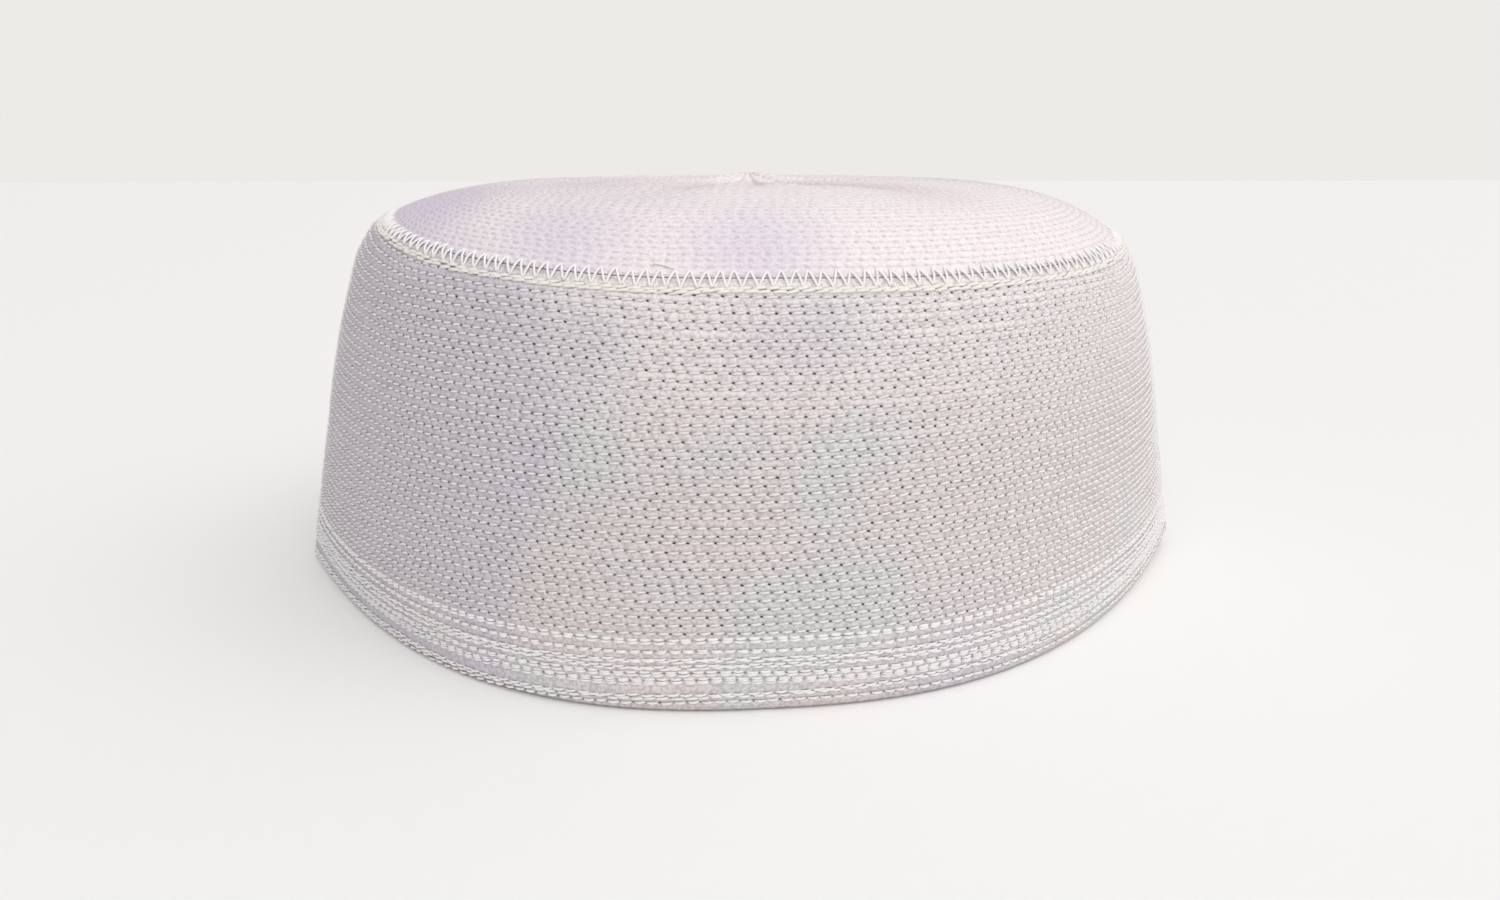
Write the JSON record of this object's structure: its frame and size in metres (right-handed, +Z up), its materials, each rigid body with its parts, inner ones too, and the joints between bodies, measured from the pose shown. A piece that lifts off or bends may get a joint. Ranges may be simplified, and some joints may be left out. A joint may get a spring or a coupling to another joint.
{
  "type": "prayer cap",
  "caption": "Stiff round prayer cap of quilted cotton: a side band that leans in to a rounded shoulder and a crown gathered at its centre.",
  "frame": {"origin": "centre of the rim's outline, on the surface that the cap stands on", "axes": "+Z up through the crown, +X to the creased end on the wearer's side, -Y to the front that the picture shows"},
  "size_m": [0.2106, 0.1658, 0.0903],
  "materials": {
    "band_cotton": "off-white cotton, densely stitched in rows",
    "crown_cotton": "off-white cotton, densely stitched in rings and gathered at the centre"
  },
  "bodies": {
    "root": {"side_band": "band_cotton", "crown": "crown_cotton"}
  },
  "joints": []
}
